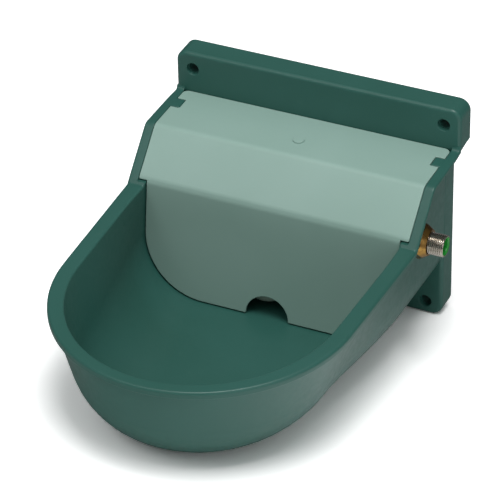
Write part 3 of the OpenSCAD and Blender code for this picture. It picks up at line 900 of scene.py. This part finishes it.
def makeValve():  # the CAD valve up to the nut, with a real thread past it
    piece = copyOfNode("valve_body", "valveBack", 0.2)
    cutFlat(piece, onInlet(inlet["cutAt"]), (1, 0, 0), clear_outer=True)
    piece = joinAll("valveMoulding", [piece, makeInletTail()])
    smoothBelow(piece, 35)
    finish(piece, "bowl", "nickel_plate", nickelPlate, "valve_body")


def makeLockNut():
    thick = inlet["nutTo"] - inlet["nutFrom"]
    middle = onInlet((inlet["nutFrom"] + inlet["nutTo"]) / 2)
    lying = (0, quarter, 0)
    piece = cylinder(inlet["nutHalf"], thick, (0, 0, 0), lying, vertices=6)
    piece.rotation_euler = (math.radians(inlet["nutTurn"]), 0, 0)
    piece.location = middle * mm
    settle(piece)
    piece.name = "lockNutHexagon"
    foot = inlet["nutFace"] + inlet["nutSlope"] * thick
    cutWith(piece, [cylinder(foot, thick, middle, lying, 96, inlet["nutFace"])], "INTERSECT")
    cutWith(piece, [cylinder(inlet["crest"] + inlet["nutGap"], inlet["nutCutter"], middle, lying)])
    applyModifier(piece, "BEVEL", width=inlet["nutRound"] * mm, segments=3, limit_method="ANGLE",
                  angle_limit=math.radians(inlet["nutSharp"]))
    averageNormals(piece, 40)
    finish(piece, "bowl", "brass", yellowBrass, "lock_nut")


def makeStrainer():
    profile = [(inlet["end"] + along, radius) for along, radius in inlet["sleeve"]]
    piece = turnedPiece("strainerSleeve", profile, 72)
    smoothBelow(piece, 40)
    finish(piece, "bowl", "strainer_plastic", strainerPlastic, "inlet_strainer")


makeValve()
makeLockNut()
makeStrainer()
print("inlet made")


# Floor and light

room = {
    "floorSize": 8,
    "floorHeel": 60,  # the bowl's underside counts from here, in mm past the plate's front
    "floorRough": 0.9,
    "floorSeen": 1.5,  # the floor's level as the camera sees it
    "floorBounce": 1.2,  # and as it throws light back
    "paintedPoolGloss": 1.1,  # and in reflections: a painted pool of light beside the bowl
    "paintedShadeGloss": 0.25,  # and in reflections far from it: painted shade
    "paintedPoolPlace": (0.24, -0.28, 0),  # middle of the painted pool of light, in metres from the floor's middle
    "paintedPoolFade": (0.1, 0.34),  # the painted pool is full within the first distance, gone at the second
    "skyFoot": 0.08,
    "skyTop": 0.5,
    "skyTopAt": 0.8,
    "skyGloss": 0.3,  # how much of the sky reflections show
    "lampAim": (0, -0.2, -0.1),
}


def floorLean():  # the floor touches the plate's foot and the bowl's underside
    low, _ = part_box("bowl_body")
    foot = Vector((0, -bowl["face"] * mm, low.z))
    rises = [(v.co.z - foot.z) / (foot.y - v.co.y) for v in frame["nodes"]["bowl_body"].data.vertices
             if v.co.y < foot.y - room["floorHeel"] * mm]
    return foot, math.atan(min(rises))


def addFloor():
    foot, lean = floorLean()
    bpy.ops.mesh.primitive_plane_add(size=room["floorSize"], location=foot, rotation=(-lean, 0, 0))
    floor = bpy.context.object
    floor.name = "floor"
    material = bpy.data.materials.new("floorWhite")
    material.use_nodes = True
    tree = material.node_tree
    shader = tree.nodes["Principled BSDF"]
    shader.inputs["Roughness"].default_value = room["floorRough"]
    shader.inputs["Specular IOR Level"].default_value = 0.0
    path = addNode(tree, "ShaderNodeLightPath")
    # the floor's colour in reflections: a painted pool of light beside the bowl, painted shade farther off
    place = addNode(tree, "ShaderNodeTexCoord")
    apart = addNode(tree, "ShaderNodeVectorMath", operation="DISTANCE")
    apart.inputs[1].default_value = room["paintedPoolPlace"]
    tree.links.new(place.outputs["Object"], apart.inputs[0])
    paintedPoolLevel = remap(tree, apart.outputs["Value"], *room["paintedPoolFade"], room["paintedPoolGloss"], room["paintedShadeGloss"])
    bounce, seen = [(room[label],) * 3 + (1,) for label in ("floorBounce", "floorSeen")]
    colour = blendColours(tree, path.outputs["Is Glossy Ray"], bounce, paintedPoolLevel)
    colour = blendColours(tree, path.outputs["Is Camera Ray"], colour, seen)
    tree.links.new(colour, shader.inputs["Base Color"])
    floor.data.materials.append(material)


def addWorld():
    world = bpy.data.worlds.new("studio")
    bpy.context.scene.world = world
    world.use_nodes = True
    tree = world.node_tree
    background = tree.nodes["Background"]
    background.inputs["Color"].default_value = (1, 1, 1, 1)
    path = addNode(tree, "ShaderNodeLightPath")
    seen = combine(tree, "MAXIMUM", path.outputs["Is Camera Ray"], path.outputs["Is Transmission Ray"])
    direction = addNode(tree, "ShaderNodeTexCoord")
    split = addNode(tree, "ShaderNodeSeparateXYZ")
    tree.links.new(direction.outputs["Generated"], split.inputs["Vector"])
    sky = remap(tree, split.outputs["Z"], 0.0, room["skyTopAt"], room["skyFoot"], room["skyTop"])
    dimmed = remap(tree, path.outputs["Is Glossy Ray"], 0.0, 1.0, 1.0, room["skyGloss"])
    sky = combine(tree, "MULTIPLY", sky, dimmed)
    strength = addNode(tree, "ShaderNodeMix", data_type="FLOAT")
    strength.inputs[3].default_value = 1.0
    tree.links.new(seen, strength.inputs[0])
    tree.links.new(sky, strength.inputs[2])
    tree.links.new(strength.outputs[0], background.inputs["Strength"])


lamps = {
    "key": {"place": (0.38, -0.55, 2.4), "size": 1.2, "power": 44},
    "front": {"place": (-0.9, -1.6, 1.85), "size": 1.0, "power": 7},
    "side": {"place": (2.2, -1.6, 0.7), "size": 1.6, "power": 7},
}


def addLamps():
    for name, lamp in lamps.items():
        bpy.ops.object.light_add(type="AREA", location=lamp["place"])
        light = bpy.context.object
        light.name = name + "Lamp"
        light.data.size = lamp["size"]
        light.data.energy = lamp["power"]
        aim = Vector(room["lampAim"]) - Vector(lamp["place"])
        light.rotation_euler = aim.to_track_quat("-Z", "Y").to_euler()


addFloor()
addWorld()
addLamps()
bpy.context.scene.view_settings.view_transform = "Standard"
print("stage set")
